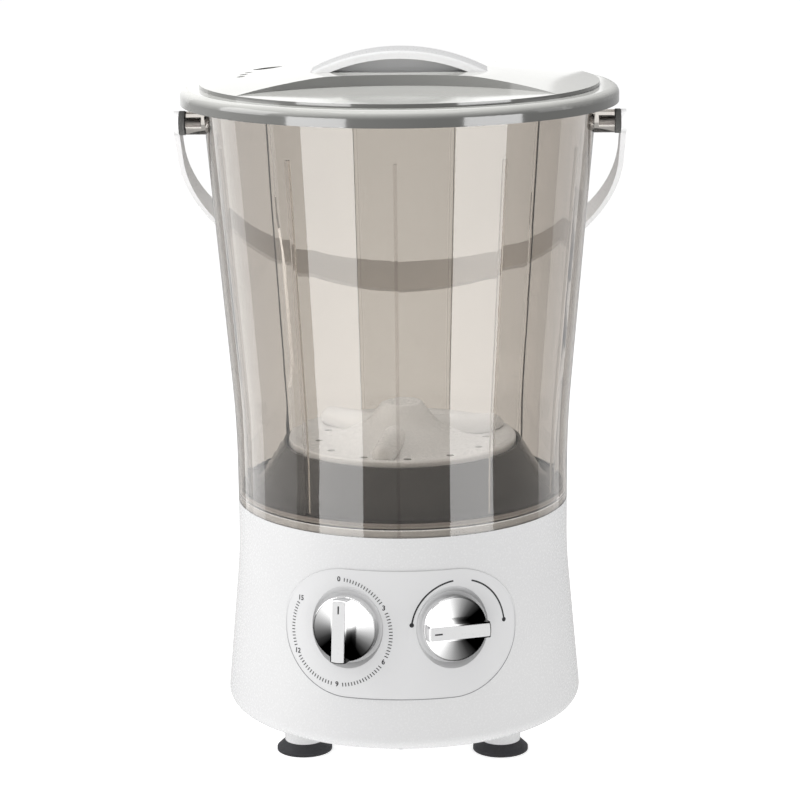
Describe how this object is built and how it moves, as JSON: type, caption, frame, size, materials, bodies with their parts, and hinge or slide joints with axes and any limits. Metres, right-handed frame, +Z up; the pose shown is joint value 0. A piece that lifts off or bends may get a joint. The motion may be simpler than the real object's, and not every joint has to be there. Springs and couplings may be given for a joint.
{
  "type": "mini washing machine",
  "caption": "Small round top-loading washing machine: smoky tub with a ribbed wall and pulsator on a white motor base, lift-off domed lid, swinging carry handle, timer and selector knobs.",
  "frame": {"origin": "on the floor, at the tub's axis, under the middle of the four feet", "axes": "+Z up along the tub's axis, -Y out of the control panel, +X to the right seen from the front"},
  "size_m": [0.3406, 0.3294, 0.527],
  "materials": {
    "smoky_plastic": "clear smoky",
    "floor_plastic": "dark smoky",
    "lid_plastic": "clear grey",
    "white_plastic": "gloss white",
    "panel_plastic": "satin pale grey",
    "chrome": "bright plated",
    "dark_rubber": "matte",
    "black_plastic": "matte",
    "grey_plastic": "satin",
    "painted_steel": "black paint",
    "laminated_steel": "bare",
    "copper": "enamelled",
    "bronze": "bare",
    "aluminium": "cast",
    "steel": "zinc plated"
  },
  "bodies": {
    "machine": {"base_housing": "white_plastic", "bearing_housing": "grey_plastic", "bearing_nut": "grey_plastic", "bottom_cover": "white_plastic", "capacitor": "black_plastic", "capacitor_clip": "painted_steel", "control_panel": "panel_plastic", "cord_gland": "black_plastic", "cover_screws": "steel", "drain_gasket": "dark_rubber", "drain_nut": "grey_plastic", "drain_spout": "grey_plastic", "drive_belt": "dark_rubber", "foot_pad_front_left": "dark_rubber", "foot_pad_front_right": "dark_rubber", "foot_pad_rear_left": "dark_rubber", "foot_pad_rear_right": "dark_rubber", "handle_screw_left": "steel", "handle_screw_right": "steel", "handle_washer_left": "dark_rubber", "handle_washer_right": "dark_rubber", "lower_bush": "bronze", "motor_bolts": "steel", "motor_deck": "painted_steel", "motor_grommets": "dark_rubber", "motor_lower_shield": "painted_steel", "motor_nuts": "steel", "motor_stator": "laminated_steel", "motor_upper_shield": "painted_steel", "motor_windings": "copper", "selector_body": "black_plastic", "selector_screws": "steel", "shaft_seal": "dark_rubber", "timer_body": "black_plastic", "timer_screws": "steel", "tub_floor": "floor_plastic", "tub_gasket": "dark_rubber", "tub_screws": "steel", "upper_bush": "bronze", "wash_tub": "smoky_plastic"},
    "lid": {"lid_cover": "lid_plastic", "lid_handle": "white_plastic", "lid_handle_screws": "steel"},
    "bail": {"carry_handle": "white_plastic"},
    "timer_knob": {"timer_knob_body": "chrome", "timer_knob_insert": "white_plastic", "timer_spindle": "steel"},
    "selector_knob": {"selector_knob_body": "chrome", "selector_knob_insert": "white_plastic", "selector_spindle": "steel"},
    "agitator": {"pulsator": "panel_plastic", "pulsator_cap": "panel_plastic", "pulsator_screw": "steel", "pulsator_shaft": "steel", "driven_pulley": "aluminium", "shaft_nut": "steel"},
    "rotor": {"motor_rotor": "laminated_steel", "motor_shaft": "steel", "motor_pulley": "aluminium"}
  },
  "joints": [
    {"name": "lid_lift", "type": "slide", "parent": "machine", "child": "lid", "axis": [0, 0, 1], "range_m": [0, 0.25]},
    {"name": "bail_swing", "type": "hinge", "parent": "machine", "child": "bail", "pos_m": [0, 0, 0.4715], "axis": [1, 0, 0], "range_deg": [0, 269.7]},
    {"name": "timer_turn", "type": "hinge", "parent": "machine", "child": "timer_knob", "pos_m": [-0.03961, -0.12487, 0.113], "axis": [0.3011, 0.9491, -0.0921], "range_deg": [0, 305]},
    {"name": "selector_turn", "type": "hinge", "parent": "machine", "child": "selector_knob", "pos_m": [0.03961, -0.12487, 0.113], "axis": [-0.3011, 0.9491, -0.0921], "range_deg": [0, 180]},
    {"name": "pulsator_spin", "type": "hinge", "parent": "machine", "child": "agitator", "pos_m": [0, 0, 0.17], "axis": [0, 0, 1], "continuous": true},
    {"name": "motor_spin", "type": "hinge", "parent": "machine", "child": "rotor", "pos_m": [0, 0.062, 0.12], "axis": [0, 0, 1], "continuous": true}
  ],
  "couplings": [
    {"joint": "motor_spin", "follows": "pulsator_spin", "ratio": 3.8182}
  ]
}
